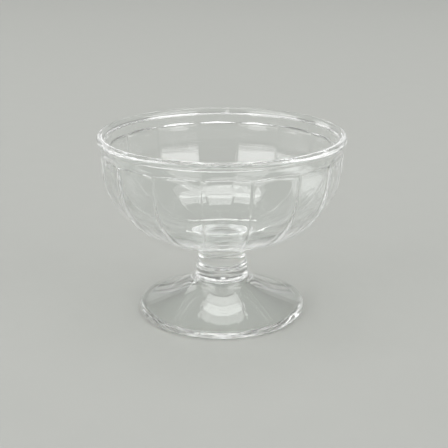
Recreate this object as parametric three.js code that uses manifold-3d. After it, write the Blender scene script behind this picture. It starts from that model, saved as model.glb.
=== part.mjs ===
// Footed dessert bowl in clear pressed glass.
//
// The bowl, the stem and the foot are the three sections of the glass. They are
// turned around the Z axis and meet on flat seams, stacked on each other. The
// origin is on the table, under the middle of the foot, and +Z points up.
// All lengths are in millimetres and all angles in degrees.

import * as THREE from 'three';
import { mergeVertices } from 'three/addons/utils/BufferGeometryUtils.js';
import Module from 'manifold-3d';

// Overall size
const HEIGHT = 79;
const RIM_RADIUS = 52.5;
const FOOT_RADIUS = 36.2;

// Heights of the foot and of the stem on it. The bowl takes the rest.
const FOOT_HEIGHT = 17.5;
const STEM_HEIGHT = 10;

// Bowl wall, from the rounded rim down to the floor. The lip is the slower
// rounding on the inner side of the rim.
const RIM_BEAD_RADIUS = 1.8;
const BAND_INSET = 1.3;
const LIP_WIDTH = 2.4;
const LIP_DROP = 5;
const FLOOR_THICKNESS = 4;

// How square the lower corner of the bowl is: 2 gives an ellipse
const OUTER_FULLNESS = 2.4;
const INNER_FULLNESS = 2.6;

// Flat panels pressed into the outside of the bowl
const PANEL_COUNT = 16;
const PANEL_DROP = 7.5;
const PANEL_INSET = 0.2;
const PANEL_START_RADIUS = 16;
const ARRIS_SHARE_LEFT = 1.003;
const LEDGE_ANGLE = 35;

// Neck under the bowl, and the ring that widens downwards round the stem
const NECK_RADIUS = 10.3;
const NECK_FILLET = 4;
const NECK_STRAIGHT = 0.2;
const FILLET_BLEND = 1;
const RING_HEIGHT = 6;
const RING_RADIUS = 11.4;
const RING_ROUND = 0.5;
const RING_STEP = 0.25;

// Foot: a cone of even thickness that stands on its edge
const FOOT_TOP_RADIUS = 10.7;
const FOOT_EDGE_THICKNESS = 3.4;
const FOOT_EDGE_ROUND = 1.5;
const FOOT_SLOPE = 18;
const FOOT_SLOPE_REACH = 17;
const FLARE_DROP = 3;
const REST_RING_WIDTH = 2.4;
const CONE_THICKNESS = 4.3;
const HOLLOW_DEPTH = 14.5;
const HOLLOW_CAP_RADIUS = 11;

// How finely the round shapes and the curves are divided
const SIDES = 64;
const BOWL_STEPS = 15;
const FLARE_STEPS = 12;
const CAP_STEPS = 5;
const LIP_STEPS = 5;
const ROUND_STEPS = 4;
const BEAD_STEPS = 6;

// What follows from the dimensions above
const QUARTER_TURN = 90;
const STEM_TOP = FOOT_HEIGHT + STEM_HEIGHT;
const BEAD_CENTRE = point(RIM_RADIUS - RIM_BEAD_RADIUS, HEIGHT - RIM_BEAD_RADIUS);
const BAND_RADIUS = RIM_RADIUS - BAND_INSET;
const PANEL_TOP = HEIGHT - PANEL_DROP;
const ARRIS_RADIUS = BAND_RADIUS - PANEL_INSET;

const wasm = await Module();
wasm.setup();

function radians(degrees) {
  return THREE.MathUtils.degToRad(degrees);
}

function point(radius, height) {
  return new THREE.Vector2(radius, height);
}

// Points along a round corner, from one angle about its centre to another.
function arc(centre, radius, from, to, steps = ROUND_STEPS) {
  const points = [];
  for (let i = 0; i <= steps; i += 1) {
    const angle = radians(from + ((to - from) * i) / steps);
    points.push(point(centre.x + radius * Math.cos(angle), centre.y + radius * Math.sin(angle)));
  }
  return points;
}

// The side of a bowl, from its lowest point up to its mouth, where it is upright.
function bowlSide(mouthRadius, mouthHeight, lowestHeight, fullness) {
  const points = [];
  for (let i = 0; i <= BOWL_STEPS; i += 1) {
    const turn = radians((QUARTER_TURN * i) / BOWL_STEPS);
    const across = Math.sin(turn) ** (2 / fullness);
    const down = Math.max(0, Math.cos(turn)) ** (2 / fullness);
    points.push(point(mouthRadius * across, mouthHeight - (mouthHeight - lowestHeight) * down));
  }
  return points;
}

// Turns an outline of radius and height around the Z axis. Its first corner
// stands at the start angle, counted from -Y towards +X.
function turned(outline, sides = SIDES, start = 0) {
  const geometry = new THREE.LatheGeometry(outline, sides, radians(start));
  geometry.rotateX(radians(QUARTER_TURN));
  return geometry;
}

function toSolid(geometry) {
  const bare = geometry.clone();
  bare.deleteAttribute('normal');
  bare.deleteAttribute('uv');
  const merged = mergeVertices(bare, 1e-4);
  const mesh = new wasm.Mesh({
    numProp: 3,
    vertProperties: new Float32Array(merged.attributes.position.array),
    triVerts: new Uint32Array(merged.index.array),
  });
  return new wasm.Manifold(mesh);
}

function toGeometry(solid) {
  const mesh = solid.getMesh();
  const geometry = new THREE.BufferGeometry();
  geometry.setAttribute('position', new THREE.BufferAttribute(mesh.vertProperties, 3));
  geometry.setIndex(new THREE.BufferAttribute(mesh.triVerts, 1));
  geometry.computeVertexNormals();
  return geometry;
}

// The bowl's outer side through the arrises. It starts where the fillet of the
// neck ends, so its lowest point is worked out from that place.
function outerSide() {
  const filletEnd = point(NECK_RADIUS + NECK_FILLET, STEM_TOP + NECK_STRAIGHT + NECK_FILLET);
  const across = (filletEnd.x / ARRIS_RADIUS) ** OUTER_FULLNESS;
  const down = (1 - across) ** (1 / OUTER_FULLNESS);
  const lowest = PANEL_TOP - (PANEL_TOP - filletEnd.y) / down;
  const side = bowlSide(ARRIS_RADIUS, PANEL_TOP, lowest, OUTER_FULLNESS);
  return { filletEnd, side };
}

// The lip, from the top of the rim down to the upright top of the inner side.
function lip() {
  const points = [];
  for (let i = 1; i <= LIP_STEPS; i += 1) {
    const turn = radians(QUARTER_TURN * (1 - i / LIP_STEPS));
    const inward = LIP_WIDTH * Math.cos(turn);
    points.push(point(BEAD_CENTRE.x - inward, HEIGHT - LIP_DROP * (1 - Math.sin(turn))));
  }
  return points;
}

// The wall as if it were round all over: neck, outer side, plain band, rounded
// rim, and the smooth inner side down to the middle of the floor.
function roundWall() {
  const { filletEnd, side } = outerSide();
  const filletCentre = point(filletEnd.x, filletEnd.y - NECK_FILLET);
  const floor = side[0].y + FLOOR_THICKNESS;
  const underBead = THREE.MathUtils.radToDeg(Math.acos(1 - (BAND_INSET / RIM_BEAD_RADIUS)));
  const inside = bowlSide(BEAD_CENTRE.x - LIP_WIDTH, HEIGHT - LIP_DROP, floor, INNER_FULLNESS);
  return [
    point(0, STEM_TOP),
    point(NECK_RADIUS, STEM_TOP),
    ...arc(filletCentre, -NECK_FILLET, 0, -QUARTER_TURN),
    ...side.filter((p) => p.x > filletEnd.x + FILLET_BLEND),
    point(BAND_RADIUS, PANEL_TOP + PANEL_INSET),
    ...arc(BEAD_CENTRE, RIM_BEAD_RADIUS, -underBead, QUARTER_TURN, BEAD_STEPS),
    ...lip(),
    ...inside.slice(0, -1).reverse(),
  ];
}

// A blank with one flat side per panel, which leaves the plain band round. It
// stands a hair outside the arrises, so that each arris keeps a narrow land.
function panelledBlank() {
  const { side } = outerSide();
  const flats = side.filter((p) => p.x > PANEL_START_RADIUS);
  const below = FOOT_HEIGHT;
  const above = HEIGHT + PANEL_DROP;
  const ledgeRise = PANEL_DROP * Math.tan(radians(LEDGE_ANGLE));
  const outline = [
    point(0, below),
    point(PANEL_START_RADIUS, below),
    ...flats.map((p) => point(p.x * ARRIS_SHARE_LEFT, p.y)),
    point(ARRIS_RADIUS * ARRIS_SHARE_LEFT + PANEL_DROP, PANEL_TOP + ledgeRise),
    point(ARRIS_RADIUS * ARRIS_SHARE_LEFT + PANEL_DROP, above),
    point(0, above),
  ];
  return turned(outline, PANEL_COUNT, 180 / PANEL_COUNT);
}

function bowlGeometry() {
  const wall = toSolid(turned(roundWall()));
  return toGeometry(wall.intersect(toSolid(panelledBlank())));
}

// From the seam with the foot up to the seam with the bowl: a ring that widens
// downwards, a small step at its top, and the plain neck.
function stemGeometry() {
  const lowerCorner = point(RING_RADIUS - RING_ROUND, FOOT_HEIGHT + RING_ROUND);
  const ringTop = FOOT_HEIGHT + RING_HEIGHT;
  const outline = [
    point(0, FOOT_HEIGHT),
    ...arc(lowerCorner, RING_ROUND, -QUARTER_TURN, 0),
    point(NECK_RADIUS + RING_STEP, ringTop - RING_STEP),
    point(NECK_RADIUS, ringTop),
    point(NECK_RADIUS, STEM_TOP),
    point(0, STEM_TOP),
  ];
  return turned(outline);
}

// The curve of the foot's top, from its rounded edge up to the stem.
function footFlare(edge) {
  const slope = radians(FOOT_SLOPE);
  return new THREE.CubicBezierCurve(
    edge,
    point(edge.x - FOOT_SLOPE_REACH * Math.cos(slope), edge.y + FOOT_SLOPE_REACH * Math.sin(slope)),
    point(FOOT_TOP_RADIUS, FOOT_HEIGHT - FLARE_DROP),
    point(FOOT_TOP_RADIUS, FOOT_HEIGHT),
  ).getPoints(FLARE_STEPS);
}

// The hollow under the foot, from its middle out to the ring that it stands on.
// It follows the foot's top at an even depth, and a flat dome closes it.
function footHollow(flare, hollowRadius) {
  const cone = flare
    .map((p) => point(p.x, p.y - CONE_THICKNESS))
    .filter((p) => p.x > HOLLOW_CAP_RADIUS && p.x < hollowRadius && p.y > 0)
    .reverse();
  const steepness = (cone[0].y - cone[1].y) / (cone[1].x - cone[0].x);
  const level = point(cone[0].x - (HOLLOW_DEPTH - cone[0].y) / steepness, HOLLOW_DEPTH);
  const dome = new THREE.QuadraticBezierCurve(point(0, HOLLOW_DEPTH), level, cone[0]);
  return [...dome.getPoints(CAP_STEPS), ...cone.slice(1), point(hollowRadius, 0)];
}

// A cone of even thickness that flares up to the stem. It stands on a flat ring
// round a deep hollow.
function footGeometry() {
  const round = Math.min(FOOT_EDGE_ROUND, FOOT_EDGE_THICKNESS / 2);
  const restRadius = FOOT_RADIUS - round;
  const upperCentre = point(restRadius, FOOT_EDGE_THICKNESS - round);
  const upperEdge = arc(upperCentre, round, 0, QUARTER_TURN - FOOT_SLOPE);
  const flare = footFlare(upperEdge.at(-1));
  const outline = [
    ...footHollow(flare, restRadius - REST_RING_WIDTH),
    ...arc(point(restRadius, round), round, -QUARTER_TURN, 0),
    ...upperEdge,
    ...flare.slice(1),
    point(0, FOOT_HEIGHT),
  ];
  return turned(outline);
}

const glass = { color: 0xdfe8e2, roughness: 0.05, metalness: 0, transparent: true, opacity: 0.35 };

function section(name, geometry) {
  const mesh = new THREE.Mesh(geometry, new THREE.MeshStandardMaterial(glass));
  mesh.name = name;
  return mesh;
}

const dessertBowl = new THREE.Group();
dessertBowl.add(section('foot', footGeometry()));
dessertBowl.add(section('stem', stemGeometry()));
dessertBowl.add(section('bowl', bowlGeometry()));

export default dessertBowl;
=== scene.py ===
# %% [markdown]
# # A footed dessert bowl in clear pressed glass
#
# The bowl is about as wide as a hand. It was pressed in a mould, so its outside has sixteen flat
# panels under a plain round band, and its inside looks smooth. A short solid stem and a low cone
# foot carry it. The three sections are one fused piece of glass. Here each is a mesh of its own, and
# the seams between them let light straight through, so that the glass looks whole.
#
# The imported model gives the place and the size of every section, and this script gives the looks.

import math

import bpy
import numpy as np
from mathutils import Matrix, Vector


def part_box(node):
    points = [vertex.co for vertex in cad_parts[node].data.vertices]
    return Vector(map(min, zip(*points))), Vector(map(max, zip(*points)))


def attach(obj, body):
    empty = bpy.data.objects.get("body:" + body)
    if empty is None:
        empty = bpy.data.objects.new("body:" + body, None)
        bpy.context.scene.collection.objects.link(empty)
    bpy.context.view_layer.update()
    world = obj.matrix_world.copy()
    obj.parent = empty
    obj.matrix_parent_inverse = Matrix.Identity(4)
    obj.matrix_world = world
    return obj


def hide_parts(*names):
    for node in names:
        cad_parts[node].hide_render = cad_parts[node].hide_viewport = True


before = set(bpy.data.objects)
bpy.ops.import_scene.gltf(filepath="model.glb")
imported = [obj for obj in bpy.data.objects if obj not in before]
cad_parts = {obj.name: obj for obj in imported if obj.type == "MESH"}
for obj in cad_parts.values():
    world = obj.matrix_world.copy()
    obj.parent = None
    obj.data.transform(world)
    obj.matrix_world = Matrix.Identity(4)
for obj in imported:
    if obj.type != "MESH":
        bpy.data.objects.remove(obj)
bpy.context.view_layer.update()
MM = 0.001
HAIR = MM / 100

bowl_low, bowl_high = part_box("bowl")
stem_low, stem_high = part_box("stem")
_, foot_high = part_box("foot")
print("sections:", sorted(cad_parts))

# %% [markdown]
# ## Camera
#
# The bowl is seen from a little above its rim, so that the rim is an open ellipse and the foot shows
# under the bowl. The camera stands about 40 cm from the axis. It is turned a few degrees round the
# bowl, because the front panel sits a little to the right, and it looks down on it.

# %% Place the camera
PICTURE_WIDTH = 448
FOCAL_PIXELS = 974.0
AXIS_COLUMN = 221.7
CAMERA_DISTANCE = 400.4 * MM
CAMERA_HEIGHT = 172.3 * MM
CAMERA_TILT = math.radians(18.53)
CAMERA_TURN = math.radians(2.2)

camera = bpy.data.cameras.new("camera")
camera.sensor_width = 36.0
camera.lens = camera.sensor_width * FOCAL_PIXELS / PICTURE_WIDTH
camera.clip_start = 0.01
camera.clip_end = 50.0
viewpoint = bpy.data.objects.new("camera", camera)
bpy.context.scene.collection.objects.link(viewpoint)
viewpoint.location = (
    -CAMERA_DISTANCE * math.sin(CAMERA_TURN),
    -CAMERA_DISTANCE * math.cos(CAMERA_TURN),
    CAMERA_HEIGHT,
)
look_aside = math.atan((PICTURE_WIDTH / 2 - AXIS_COLUMN) / FOCAL_PIXELS)
viewpoint.rotation_euler = (math.pi / 2 - CAMERA_TILT, 0, -CAMERA_TURN - look_aside)
bpy.context.scene.camera = viewpoint
print(f"lens {camera.lens:.1f} mm, {CAMERA_DISTANCE / MM:.0f} mm from the axis")

# %% [markdown]
# ## Outlines
#
# Every section is round about one axis, so its shape is an outline of radius and height that is
# spun round the axis. Clear glass shows every error of its surface as a streak, so the outlines are
# built from arcs, curves and one smooth formula, with points close together where the outline turns.

# %% Helpers for corners and sides
def arc(centre, radius, start, end, steps):
    """Points on a round corner, between two angles in degrees."""
    angles = np.radians(np.linspace(start, end, steps + 1))
    return [(centre[0] + radius * math.cos(a), centre[1] + radius * math.sin(a)) for a in angles]


def bowl_side(mouth_radius, mouth_height, lowest, fullness, steps):
    """The side of a bowl, from its lowest point up to its mouth. A fullness of 2 is an ellipse."""
    points = []
    for turn in np.linspace(0, math.pi / 2, steps + 1):
        across = math.sin(turn) ** (2 / fullness)
        down = max(0.0, math.cos(turn)) ** (2 / fullness)
        points.append((mouth_radius * across, mouth_height - (mouth_height - lowest) * down))
    return points


print("outline helpers: arc, bowl_side")

# %% Helpers for lines and curves
def line(start, end, steps):
    """Evenly spaced points on a straight line, without its start."""
    shares = np.linspace(0, 1, steps + 1)[1:]
    return [tuple(a + (b - a) * s for a, b in zip(start, end)) for s in shares]


def curve(controls, steps):
    """Points on a cubic Bezier curve, or one of another degree, without its start."""
    degree = len(controls) - 1
    points = []
    for share in np.linspace(0, 1, steps + 1)[1:]:
        pulls = [math.comb(degree, k) * share**k * (1 - share) ** (degree - k) for k in range(degree + 1)]
        points.append(tuple(sum(pull * c[i] for pull, c in zip(pulls, controls)) for i in range(2)))
    return points


print("outline helpers: line, curve")

# %% [markdown]
# ## Spinning an outline
#
# A plane is added and merged to one vertex. The vertex is moved to the start of the outline and
# extruded from point to point, and Spin turns the line once round the axis. Spin leaves double
# vertices where it closes and on the axis, so these are merged, and only then are the normals
# turned outwards.

# %% Spin an outline into a closed shape
MERGE_DISTANCE = MM / 500


def spun(name, outline, columns):
    """A closed mesh: the outline, in metres, spun once round the Z axis."""
    bpy.ops.object.select_all(action="DESELECT")
    bpy.ops.mesh.primitive_plane_add(size=MM, location=(0, 0, 0))
    piece = bpy.context.object
    piece.name = piece.data.name = name
    bpy.ops.object.mode_set(mode="EDIT")
    bpy.ops.mesh.select_all(action="SELECT")
    bpy.ops.mesh.merge(type="CENTER")
    bpy.ops.transform.translate(value=(outline[0][0], 0, outline[0][1]))
    for here, there in zip(outline, outline[1:]):
        step = (there[0] - here[0], 0, there[1] - here[1])
        bpy.ops.mesh.extrude_vertices_move(TRANSFORM_OT_translate={"value": step})
    bpy.ops.mesh.select_all(action="SELECT")
    bpy.ops.mesh.spin(steps=columns, angle=2 * math.pi, center=(0, 0, 0), axis=(0, 0, 1))
    bpy.ops.mesh.select_all(action="SELECT")
    bpy.ops.mesh.remove_doubles(threshold=MERGE_DISTANCE)
    bpy.ops.mesh.normals_make_consistent(inside=False)
    bpy.ops.object.mode_set(mode="OBJECT")
    bpy.ops.object.shade_smooth()
    print(f"{name}: {len(outline)} outline points, {len(piece.data.polygons)} faces")
    return piece


print("double vertices are merged within", MERGE_DISTANCE / MM, "mm")

# %% [markdown]
# ## The bowl
#
# The outline starts under the neck, where the bowl joins the stem. It turns out through a small
# fillet, runs up the outside, and over the rounded rim down to the middle of the smooth floor. The
# rim is a bead on the outside, and on the inside it slopes away as a soft lip. The side follows a
# formula between an ellipse and a rectangle, because the real wall is fuller than an ellipse.

# %% Sizes of the rim and the wall
RIM_RADIUS = bowl_high.x
RIM_TOP = bowl_high.z
BEAD_RADIUS = 1.8 * MM
BAND_INSET = 1.3 * MM
LIP_WIDTH = 2.4 * MM
LIP_DROP = 5 * MM
FLOOR_THICKNESS = 4 * MM
OUTER_FULLNESS = 2.4
INNER_FULLNESS = 2.6
PANEL_TOP = RIM_TOP - 7.5 * MM
PANEL_INSET = 0.2 * MM
LEDGE_HEIGHT = 0.5 * MM
BAND_FOOT = 2 * MM

bead_centre = (RIM_RADIUS - BEAD_RADIUS, RIM_TOP - BEAD_RADIUS)
band_radius = RIM_RADIUS - BAND_INSET
arris_radius = band_radius - PANEL_INSET
print(f"panels end {PANEL_TOP / MM:.1f} mm up, at a radius of {arris_radius / MM:.1f} mm")

# %% Sizes of the neck
NECK_SEAM = bowl_low.z
NECK_RADIUS = 10.3 * MM
NECK_FILLET = 4 * MM
NECK_STRAIGHT = 0.2 * MM
SEAM_RING = 0.5

neck_base = (NECK_RADIUS, NECK_SEAM)
neck_top = (NECK_RADIUS, NECK_SEAM + NECK_STRAIGHT)
fillet_end = (NECK_RADIUS + NECK_FILLET, NECK_SEAM + NECK_STRAIGHT + NECK_FILLET)
fillet_centre = (fillet_end[0], fillet_end[1] - NECK_FILLET)
print(f"neck seam {NECK_SEAM / MM:.1f} mm up, neck {2 * NECK_RADIUS / MM:.1f} mm thick")

# %% Outside of the bowl
def outer_side(steps):
    """The outside of the bowl through its arrises, from the neck's fillet up to the panels' tops."""
    across = (fillet_end[0] / arris_radius) ** OUTER_FULLNESS
    down = (1 - across) ** (1 / OUTER_FULLNESS)
    lowest = PANEL_TOP - (PANEL_TOP - fillet_end[1]) / down
    side = bowl_side(arris_radius, PANEL_TOP, lowest, OUTER_FULLNESS, steps)
    return lowest, [p for p in side if p[0] > fillet_end[0]]


lowest_outside, side = outer_side(64)
ledge_top = (band_radius, PANEL_TOP + LEDGE_HEIGHT)
band_middle = (band_radius, PANEL_TOP + BAND_FOOT)
outside = [
    neck_base,
    *line(neck_base, neck_top, 2),
    *arc(fillet_centre, -NECK_FILLET, 0, -90, 10)[1:],
    *side,
    *line((arris_radius, PANEL_TOP), ledge_top, 3),
    *line(ledge_top, band_middle, 8),
    *line(band_middle, (band_radius, RIM_TOP - 2 * BEAD_RADIUS), 3),
]
print(f"outside: {len(outside)} points")

# %% Rim, lip and inside of the bowl
floor_height = lowest_outside + FLOOR_THICKNESS
under_bead = math.degrees(math.acos(1 - BAND_INSET / BEAD_RADIUS))
rim = arc(bead_centre, BEAD_RADIUS, -under_bead, 90, 20)
lip = [
    (bead_centre[0] - LIP_WIDTH * math.cos(turn), RIM_TOP - LIP_DROP * (1 - math.sin(turn)))
    for turn in np.linspace(math.pi / 2, 0, 25)[1:]
]
inside = bowl_side(*lip[-1], floor_height, INNER_FULLNESS, 60)[-2::-1]
bowl_outline = [
    (0, NECK_SEAM),
    (NECK_RADIUS * SEAM_RING, NECK_SEAM),
    *outside,
    *rim,
    *lip,
    *inside,
]
print(f"floor at {floor_height / MM:.1f} mm, {len(bowl_outline)} points")

# %% [markdown]
# ## Pressing the panels
#
# A boolean with a sixteen-sided blank would cut the panels exactly, but its long thin triangles
# would show in the glass. So the round blank is pressed instead: each vertex of the outside moves in
# to the flat plane of its panel where that lies deeper. The smaller of the two radii is taken
# softly, which rounds each arris as a fire-polished one is, and the arris stands a little proud,
# where the glass ran into the mould's corners. The columns are drawn towards the arrises first,
# where the surface turns. The inner wall follows the panels with faint flats of its own, so the
# glass is as thick in the middle of a panel as at its sides, and a panel shows calm.

# %% Columns of vertices, drawn towards the arrises
PANEL_COUNT = 16
PANEL_ANGLE = 2 * math.pi / PANEL_COUNT
COLUMN_DRAW = 0.3


def drawn_columns(angle):
    """Where a column lies in its panel, -1 and 1 at the arrises, and its angle off the middle."""
    middle = np.round(angle / PANEL_ANGLE) * PANEL_ANGLE
    share = (angle - middle) / (PANEL_ANGLE / 2)
    share = share * (1 + COLUMN_DRAW) - COLUMN_DRAW * share**3
    off_middle = share * PANEL_ANGLE / 2
    return share, off_middle, middle + off_middle


print(f"{PANEL_COUNT} panels of {math.degrees(PANEL_ANGLE):.1f} degrees")

# %% Soft steps and corners
def eased(values, start, end):
    """0 at the start and 1 at the end, with a soft turn at both."""
    share = np.clip((values - start) / (end - start), 0, 1)
    return share * share * (3 - 2 * share)


def soft_least(a, b, softness):
    """The smaller of two lengths, with a round corner where they cross."""
    gap = np.abs(a - b) / softness
    return np.minimum(a, b) - softness * np.log1p(np.exp(-gap))


print("helpers: eased, soft_least")

# %% Flat panels and proud arrises of the outside
ARRIS_LAND = 1.003
ARRIS_SOFTNESS = 0.1 * MM
ARRIS_HEIGHT = 0.15 * MM
ARRIS_WIDTH = 0.4 * MM
LEDGE_SLOPE = math.tan(math.radians(35))
PANEL_FADE = (13 * MM, 19 * MM)
FADE_LIFT = 2 * MM


def pressed_outside(radius, z, share, off_middle):
    """The outside's new radius: the panel's plane where that is deeper, and the arris on top."""
    fade = eased(radius, *PANEL_FADE)
    above = np.maximum(z - PANEL_TOP, 0)
    corner = np.minimum(radius, arris_radius) * ARRIS_LAND + above / LEDGE_SLOPE
    flat = corner * math.cos(PANEL_ANGLE / 2) / np.cos(off_middle) + (1 - fade) * FADE_LIFT
    from_arris = (1 - np.abs(share)) * PANEL_ANGLE / 2 * radius
    below_band = np.clip((PANEL_TOP + LEDGE_HEIGHT - z) / LEDGE_HEIGHT, 0, 1)
    arris = ARRIS_HEIGHT * np.exp(-((from_arris / ARRIS_WIDTH) ** 2)) * fade * below_band
    return soft_least(radius, flat, ARRIS_SOFTNESS) + arris


print(f"arrises stand {ARRIS_HEIGHT / MM} mm proud")

# %% Faint flats of the inside
INNER_FLATNESS = 0.9
INNER_LAND = 1.002
INNER_FADE = (14 * MM, 22 * MM)
INNER_TOP = PANEL_TOP + LEDGE_HEIGHT
INNER_TOP_FADE = 3 * MM


def followed_inside(radius, z, off_middle):
    """The inside's new radius: drawn in behind the middle of each panel, and round at both ends."""
    inner_flat = radius * INNER_LAND * math.cos(PANEL_ANGLE / 2) / np.cos(off_middle)
    drawn_in = radius - soft_least(radius, inner_flat, ARRIS_SOFTNESS)
    inner_fade = eased(radius, *INNER_FADE) * eased(z, INNER_TOP, INNER_TOP - INNER_TOP_FADE)
    return radius - drawn_in * INNER_FLATNESS * inner_fade


print(f"inner flats end {INNER_TOP / MM:.1f} mm up")

# %% Press the panels into the bowl
SKIN_DEPTH = 1 * MM
RIM_KEPT = 3 * MM
WALL_LEAST = 0.3 * MM
BOWL_COLUMNS = PANEL_COUNT * 24


def press_panels(piece):
    """Moves the outside of a round bowl in to its flat panels, and the inside after it."""
    mesh = piece.data
    flat_list = np.empty(len(mesh.vertices) * 3)
    mesh.vertices.foreach_get("co", flat_list)
    x, y, z = flat_list.reshape(-1, 3).T
    radius = np.hypot(x, y)
    share, off_middle, angle = drawn_columns(np.arctan2(x, -y))

    outer_radius = np.interp(z, [p[1] for p in outside], [p[0] for p in outside])
    is_skin = (radius > outer_radius - SKIN_DEPTH) & (z < RIM_TOP - RIM_KEPT)
    is_outside = is_skin & (z > NECK_SEAM + HAIR)
    is_inside = ~is_outside & (z > floor_height) & (radius < outer_radius - WALL_LEAST)
    pressed = pressed_outside(radius, z, share, off_middle)
    followed = followed_inside(radius, z, off_middle)
    radius = np.where(is_outside, pressed, np.where(is_inside, followed, radius))

    placed = np.stack([radius * np.sin(angle), -radius * np.cos(angle), z], 1)
    mesh.vertices.foreach_set("co", placed.ravel())
    mesh.update()
    print(f"{piece.name}: {int(is_outside.sum())} vertices pressed into {PANEL_COUNT} panels")


bowl = spun("bowl_glass", bowl_outline, BOWL_COLUMNS)
press_panels(bowl)

# %% [markdown]
# ## The stem
#
# The stem is a thick collar that ends in a rounded shoulder. Above it a shallow waist leads into the
# plain neck. The shoulder and the rounded lower edge of the collar bend the light hard, so they show
# as dark bands with bright lines beside them. Each part of the side is a cubic curve, and the
# handles of two parts line up where they meet, so that no crease shows there.

# %% Sizes of the stem
COLLAR_RADIUS = 11.35 * MM
COLLAR_ROUND = 0.55 * MM
COLLAR_ROUND_END = -5
COLLAR_HEIGHT = 3.5 * MM
COLLAR_DRAW_IN = 0.35 * MM
COLLAR_HANDLES = (1.5 * MM, 0.9 * MM)
SHOULDER_HEIGHT = 1 * MM
SHOULDER_SLANT = 0.2 * MM
SHOULDER_HANDLE = 0.5 * MM
WAIST_RADIUS = 10 * MM
WAIST_HEIGHT = 1.3 * MM
WAIST_HANDLES = (0.5 * MM, 0.6 * MM)
FOOT_TOP_RADIUS = 10.7 * MM
STEM_COLUMNS = 240

collar_centre = (COLLAR_RADIUS - COLLAR_ROUND, stem_low.z + COLLAR_ROUND)
collar_top = (COLLAR_RADIUS - COLLAR_DRAW_IN, stem_low.z + COLLAR_HEIGHT)
waist = (WAIST_RADIUS, collar_top[1] + SHOULDER_HEIGHT)
neck_start = (NECK_RADIUS, waist[1] + WAIST_HEIGHT)
print(f"waist {waist[1] / MM:.1f} mm up, neck from {neck_start[1] / MM:.1f} mm")

# %% Curves of the stem's side
collar_edge = arc(collar_centre, COLLAR_ROUND, -90, COLLAR_ROUND_END, 10)
collar_side = [
    collar_edge[-1],
    (COLLAR_RADIUS, collar_top[1] - COLLAR_HANDLES[0]),
    (COLLAR_RADIUS, collar_top[1] - COLLAR_HANDLES[1]),
    collar_top,
]
shoulder = [
    collar_top,
    (collar_top[0] - SHOULDER_SLANT, waist[1] - SHOULDER_HANDLE),
    (WAIST_RADIUS, waist[1] - SHOULDER_HANDLE),
    waist,
]
waist_side = [
    waist,
    (WAIST_RADIUS, waist[1] + WAIST_HANDLES[0]),
    (NECK_RADIUS, waist[1] + WAIST_HANDLES[1]),
    neck_start,
]
print(f"collar {2 * COLLAR_RADIUS / MM:.1f} mm thick")

# %% Outline and mesh of the stem
stem_outline = [
    (0, stem_low.z),
    (FOOT_TOP_RADIUS * SEAM_RING, stem_low.z),
    (FOOT_TOP_RADIUS, stem_low.z),
    *collar_edge,
    *curve(collar_side, 20),
    *curve(shoulder, 12),
    *curve(waist_side, 8),
    *line(neck_start, (NECK_RADIUS, stem_high.z), 6),
    (NECK_RADIUS * SEAM_RING, stem_high.z),
    (0, stem_high.z),
]
stem = spun("stem_glass", stem_outline, STEM_COLUMNS)

# %% [markdown]
# ## The foot
#
# The foot is a low cone that flares up into the stem. Its edge is rounded above and below. It is
# hollow underneath, where the plunger pressed it, so its wall is about as thick as its edge, and it
# stands on a narrow flat ring.

# %% Top of the foot
EDGE_THICKNESS = 3.4 * MM
EDGE_ROUND = 1.5 * MM
FOOT_SLOPE = math.radians(18)
SLOPE_REACH = 17 * MM
FLARE_DROP = 3 * MM

rest_radius = foot_high.x - EDGE_ROUND
upper_centre = (rest_radius, EDGE_THICKNESS - EDGE_ROUND)
upper_edge = arc(upper_centre, EDGE_ROUND, 0, 90 - math.degrees(FOOT_SLOPE), 12)
slope_x, slope_z = upper_edge[-1]
flare = [
    upper_edge[-1],
    (slope_x - SLOPE_REACH * math.cos(FOOT_SLOPE), slope_z + SLOPE_REACH * math.sin(FOOT_SLOPE)),
    (FOOT_TOP_RADIUS, foot_high.z - FLARE_DROP),
    (FOOT_TOP_RADIUS, foot_high.z),
]
foot_top = curve(flare, 60)
print(f"foot {2 * foot_high.x / MM:.1f} mm across, slope of {math.degrees(FOOT_SLOPE):.0f} degrees")

# %% Hollow of the foot
REST_RING_WIDTH = 2.4 * MM
RING_SLANT = 0.5 * MM
CONE_THICKNESS = 4.3 * MM
CONE_LOWEST = 0.1 * MM
HOLLOW_DEPTH = 14.5 * MM
HOLLOW_CAP_RADIUS = 11 * MM
CAP_FLATNESS = 0.9

hollow_radius = rest_radius - REST_RING_WIDTH


def hollow_outline():
    """The underside from the axis out: a dome, then a cone that runs level with the top."""
    lowered = [(x, z - CONE_THICKNESS) for x, z in reversed(foot_top)]
    widest = hollow_radius - RING_SLANT
    cone = [p for p in lowered if HOLLOW_CAP_RADIUS <= p[0] < widest and p[1] > CONE_LOWEST]
    fall = (cone[0][1] - cone[1][1]) / (cone[1][0] - cone[0][0])
    bend = (cone[0][0] - (HOLLOW_DEPTH - cone[0][1]) / fall, HOLLOW_DEPTH)
    top = (0, HOLLOW_DEPTH)
    dome = curve([top, (bend[0] * CAP_FLATNESS, HOLLOW_DEPTH), bend, cone[0]], 30)
    return [top, *dome, *cone[1:], (hollow_radius, 0)]


print(f"hollow {HOLLOW_DEPTH / MM:.1f} mm deep, resting ring {REST_RING_WIDTH / MM:.1f} mm wide")

# %% Outline and mesh of the foot
FOOT_COLUMNS = 288

foot_outline = [
    *hollow_outline(),
    *line((hollow_radius, 0), (rest_radius, 0), 3),
    *arc((rest_radius, EDGE_ROUND), EDGE_ROUND, -90, 0, 12)[1:],
    *upper_edge,
    *foot_top,
    (FOOT_TOP_RADIUS * SEAM_RING, foot_high.z),
    (0, foot_high.z),
]
foot = spun("foot_glass", foot_outline, FOOT_COLUMNS)

# %% [markdown]
# ## Shader helper
#
# A material is a graph of nodes. This small class wraps one output socket, so that a node's output
# can be named and handed to the next node, and its one method adds any node. The glass and the table
# need no sums of sockets, so the class has no operators.

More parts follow.
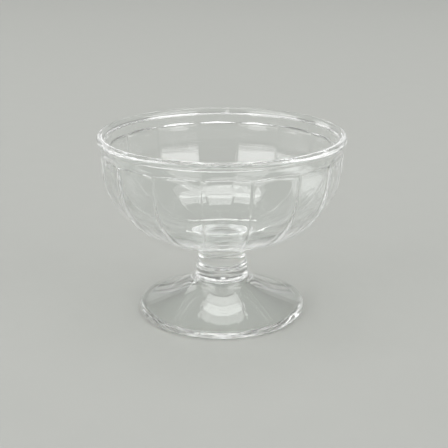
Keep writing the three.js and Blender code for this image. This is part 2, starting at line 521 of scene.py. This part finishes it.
# %% A class that adds nodes and links them
class Shade:
    """An output socket in a material, or the start of its graph."""

    def __init__(self, tree, socket=None):
        self.tree = tree
        self.socket = socket

    def node(self, kind, settings=None, output=0, **inputs):
        """Adds a node, sets it up, and links or sets its inputs by their names or, as _0, numbers."""
        made = self.tree.nodes.new(kind)
        for key, value in (settings or {}).items():
            setattr(made, key, value)
        for key, value in inputs.items():
            slot = made.inputs[int(key[1:])] if key[0] == "_" else made.inputs[key.replace("_", " ")]
            if isinstance(value, Shade):
                self.tree.links.new(value.socket, slot)
            else:
                slot.default_value = value
        return Shade(self.tree, made.outputs[output]) if made.outputs else None


def new_material(name):
    """An empty material and the start of its graph."""
    material = bpy.data.materials.new(name)
    material.use_nodes = True
    material.node_tree.nodes.clear()
    return material, Shade(material.node_tree)


print("shader helper ready")

# %% [markdown]
# ## Clear glass
#
# Tableware glass bends light by 1.52 and is smooth all over. It holds a little iron, so thick places
# look faintly green. Pressing leaves the skin very slightly wavy, which a low bump gives.

# %% Clear pressed glass
GLASS_IOR = 1.52
GLASS_COLOUR = (0.985, 0.995, 0.99, 1)
WAVE_SIZE = 120.0
WAVE_HEIGHT = 0.006 * MM
OBJECT_PLACE = 3


def clear_glass():
    """Clear glass with a faintly wavy skin."""
    material, graph = new_material("clear_pressed_glass")
    place = graph.node("ShaderNodeTexCoord", output=OBJECT_PLACE)
    waves = graph.node("ShaderNodeTexNoise", Vector=place, Scale=WAVE_SIZE, Detail=1.0)
    skin = graph.node("ShaderNodeBump", Height=waves, Strength=1.0, Distance=WAVE_HEIGHT)
    surface = graph.node(
        "ShaderNodeBsdfPrincipled",
        Base_Color=GLASS_COLOUR,
        Roughness=0.0,
        IOR=GLASS_IOR,
        Transmission_Weight=1.0,
        Normal=skin,
    )
    graph.node("ShaderNodeOutputMaterial", Surface=surface)
    return material


glass = clear_glass()
print("material:", glass.name)

# %% [markdown]
# ## Fused seams
#
# In the real bowl the glass runs on from one section into the next. Two faces of glass that touch
# would bend the light twice more and show as a dark disc, so the faces on the seams are transparent.

# %% Fused seam
def fused_seam():
    """A surface that lets light straight through."""
    material, graph = new_material("fused_seam")
    through = graph.node("ShaderNodeBsdfTransparent")
    graph.node("ShaderNodeOutputMaterial", Surface=through)
    return material


seam = fused_seam()
print("material:", seam.name)

# %% [markdown]
# ## Dressing the sections
#
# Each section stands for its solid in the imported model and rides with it. The flat faces on the two
# seams get the material that lets light straight through.

# %% Give each section its glass and its place in the frame
def dress(piece, node, seams):
    """Gives a section its glass, clears its seams, each a height and a radius, and replaces its node."""
    piece.data.materials.append(glass)
    piece.data.materials.append(seam)
    cleared = 0
    for face in piece.data.polygons:
        off_axis = math.hypot(face.center.x, face.center.y)
        if any(abs(face.center.z - height) < HAIR and off_axis < reach for height, reach in seams):
            face.material_index = 1
            cleared += 1
    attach(piece, "root")
    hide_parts(node)
    print(f"{piece.name}: {cleared} seam faces")


neck_seam = (NECK_SEAM, NECK_RADIUS)
foot_seam = (foot_high.z, FOOT_TOP_RADIUS)
dress(bowl, "bowl", [neck_seam])
dress(stem, "stem", [neck_seam, foot_seam])
dress(foot, "foot", [foot_seam])

# %% [markdown]
# ## Floor and background
#
# The bowl stands on a plain pale grey table that runs on as its own background. The floor is one
# large round plane, a hair under the bowl so that the two don't share a surface. The world shows the
# table's grey to the camera, so that the floor has no visible end, and a deeper grey to the glass,
# which gives clear glass its dark lines.

# %% Floor
TABLE_GREY = (0.42, 0.427, 0.404, 1)
TABLE_SHADE = (0.41, 0.417, 0.396, 1)
TABLE_RADIUS = 6.0
TABLE_SIDES = 96
TABLE_GAP = 0.2 * MM
TABLE_MOTTLE = 60.0

bpy.ops.object.select_all(action="DESELECT")
bpy.ops.mesh.primitive_circle_add(
    vertices=TABLE_SIDES,
    radius=TABLE_RADIUS,
    fill_type="NGON",
    location=(0, 0, -TABLE_GAP),
)
table = bpy.context.object
table.name = "table_top"
print("table radius", TABLE_RADIUS, "m")

# %% Paint of the floor
table_paint, graph = new_material("pale_grey_table")
place = graph.node("ShaderNodeTexCoord", output=OBJECT_PLACE)
mottle = graph.node("ShaderNodeTexNoise", Vector=place, Scale=TABLE_MOTTLE, Detail=3.0)
colours = {"data_type": "RGBA"}
greys = graph.node("ShaderNodeMix", colours, output=2, _0=mottle, _6=TABLE_SHADE, _7=TABLE_GREY)
paint = graph.node("ShaderNodeBsdfDiffuse", Color=greys)
graph.node("ShaderNodeOutputMaterial", Surface=paint)
table.data.materials.append(table_paint)
print("material:", table_paint.name)

# %% World
WORLD_LIGHT = 0.355
SEEN_GREY = {"Is Transmission Ray": 0.5, "Is Glossy Ray": 0.5, "Is Camera Ray": 1.25}

world = bpy.data.worlds.new("studio")
bpy.context.scene.world = world
world.use_nodes = True
world.node_tree.nodes.clear()
graph = Shade(world.node_tree)
shown = graph.node("ShaderNodeBackground", Color=(1, 1, 1, 1), Strength=WORLD_LIGHT)
for ray, level in SEEN_GREY.items():
    on_ray = graph.node("ShaderNodeLightPath", output=ray)
    grey = graph.node("ShaderNodeBackground", Color=TABLE_GREY, Strength=level)
    shown = graph.node("ShaderNodeMixShader", _0=on_ray, _1=shown, _2=grey)
graph.node("ShaderNodeOutputWorld", Surface=shown)
print("world light", WORLD_LIGHT)

# %% [markdown]
# ## Lights
#
# Glass shows the lights more than it shows itself. A tall softbox stands on either side of the
# camera, brighter in its lower half, and a narrow one stands nearly over the camera for the bright
# lines on the front. One hangs overhead, behind the bowl, and a wide dim one hangs in front of it. A
# small one from the left and behind brightens the edge of the foot, and a dim panel behind the bowl
# clears the slopes of the foot. Two thin tubes behind the bowl draw the level lines low in the front
# panel. All are metres away, so that the light on the table is even.

# %% Helpers for lights
STAND_DISTANCE = 5.0
STAND_RAISE = 0.04
OVERHEAD_HEIGHT = 3.0


def area_light(name, width, height, brightness):
    """A rectangular soft light of a plain brightness, not placed yet."""
    light = bpy.data.lights.new(name, "AREA")
    light.shape = "RECTANGLE"
    light.size = width
    light.size_y = height
    light.energy = brightness * math.pi * width * height
    box = bpy.data.objects.new(name, light)
    bpy.context.scene.collection.objects.link(box)
    print(f"{name}: {width:.2f} by {height:.2f} m")
    return box


def standing_light(name, azimuths, elevations, brightness):
    """An upright light that the bowl sees between two azimuths, 0 at the camera, and two elevations."""
    middle = math.radians(sum(azimuths) / 2)
    width = 2 * STAND_DISTANCE * math.tan(math.radians(abs(azimuths[1] - azimuths[0]) / 2))
    bottom, top = (STAND_DISTANCE * math.tan(math.radians(e)) for e in elevations)
    box = area_light(name, width, top - bottom, brightness)
    away = Vector((math.sin(middle), -math.cos(middle), 0))
    box.location = away * STAND_DISTANCE + Vector((0, 0, (bottom + top) / 2 + STAND_RAISE))
    box.rotation_euler = away.to_track_quat("Z", "Y").to_euler()


def overhead_light(name, across, along, brightness):
    """A level light overhead. Its edges are parts of its height, to the side and to the back."""
    width, height = (OVERHEAD_HEIGHT * (side[1] - side[0]) for side in (across, along))
    box = area_light(name, width, height, brightness)
    middle = (sum(across) / 2, sum(along) / 2, 1)
    box.location = [OVERHEAD_HEIGHT * part for part in middle]


print(f"upright lights stand {STAND_DISTANCE} m away, level ones hang {OVERHEAD_HEIGHT} m up")

# %% Softboxes and tubes
standing_light("softbox_right_lower", (25, 83), (7, 32), 3.1)
standing_light("softbox_right_upper", (25, 83), (32, 58), 1.1)
standing_light("softbox_left_lower", (-32, -91), (7, 32), 3.1)
standing_light("softbox_left_upper", (-32, -91), (32, 58), 1.6)
standing_light("softbox_front", (-6, -11), (20, 58), 2.5)
standing_light("softbox_left_back", (-115, -140), (5, 30), 1.8)
standing_light("panel_back", (140, 220), (3, 22), 0.34)
standing_light("tube_back_upper", (176, 182.5), (24, 26), 4.0)
standing_light("tube_back_lower", (175, 183.5), (10.5, 12), 4.5)
overhead_light("softbox_overhead", (-0.3, 0.35), (0.1, 0.41), 3.6)
overhead_light("softbox_overhead_front", (-1.0, 1.0), (-0.22, 0.06), 1.7)

# %% [markdown]
# ## Light paths
#
# Thick glass sends light through many surfaces, so the renderer follows each path further than
# usual. Blurring of glossy paths is off, because it would darken what shines through the glass.

# %% Light paths and colour
GLASS_BOUNCES = 64
SEAM_BOUNCES = 24

cycles = bpy.context.scene.cycles
cycles.max_bounces = GLASS_BOUNCES
cycles.transmission_bounces = GLASS_BOUNCES
cycles.glossy_bounces = GLASS_BOUNCES
cycles.transparent_max_bounces = SEAM_BOUNCES
cycles.blur_glossy = 0.0
bpy.context.scene.view_settings.view_transform = "Standard"
print("view transform:", bpy.context.scene.view_settings.view_transform)
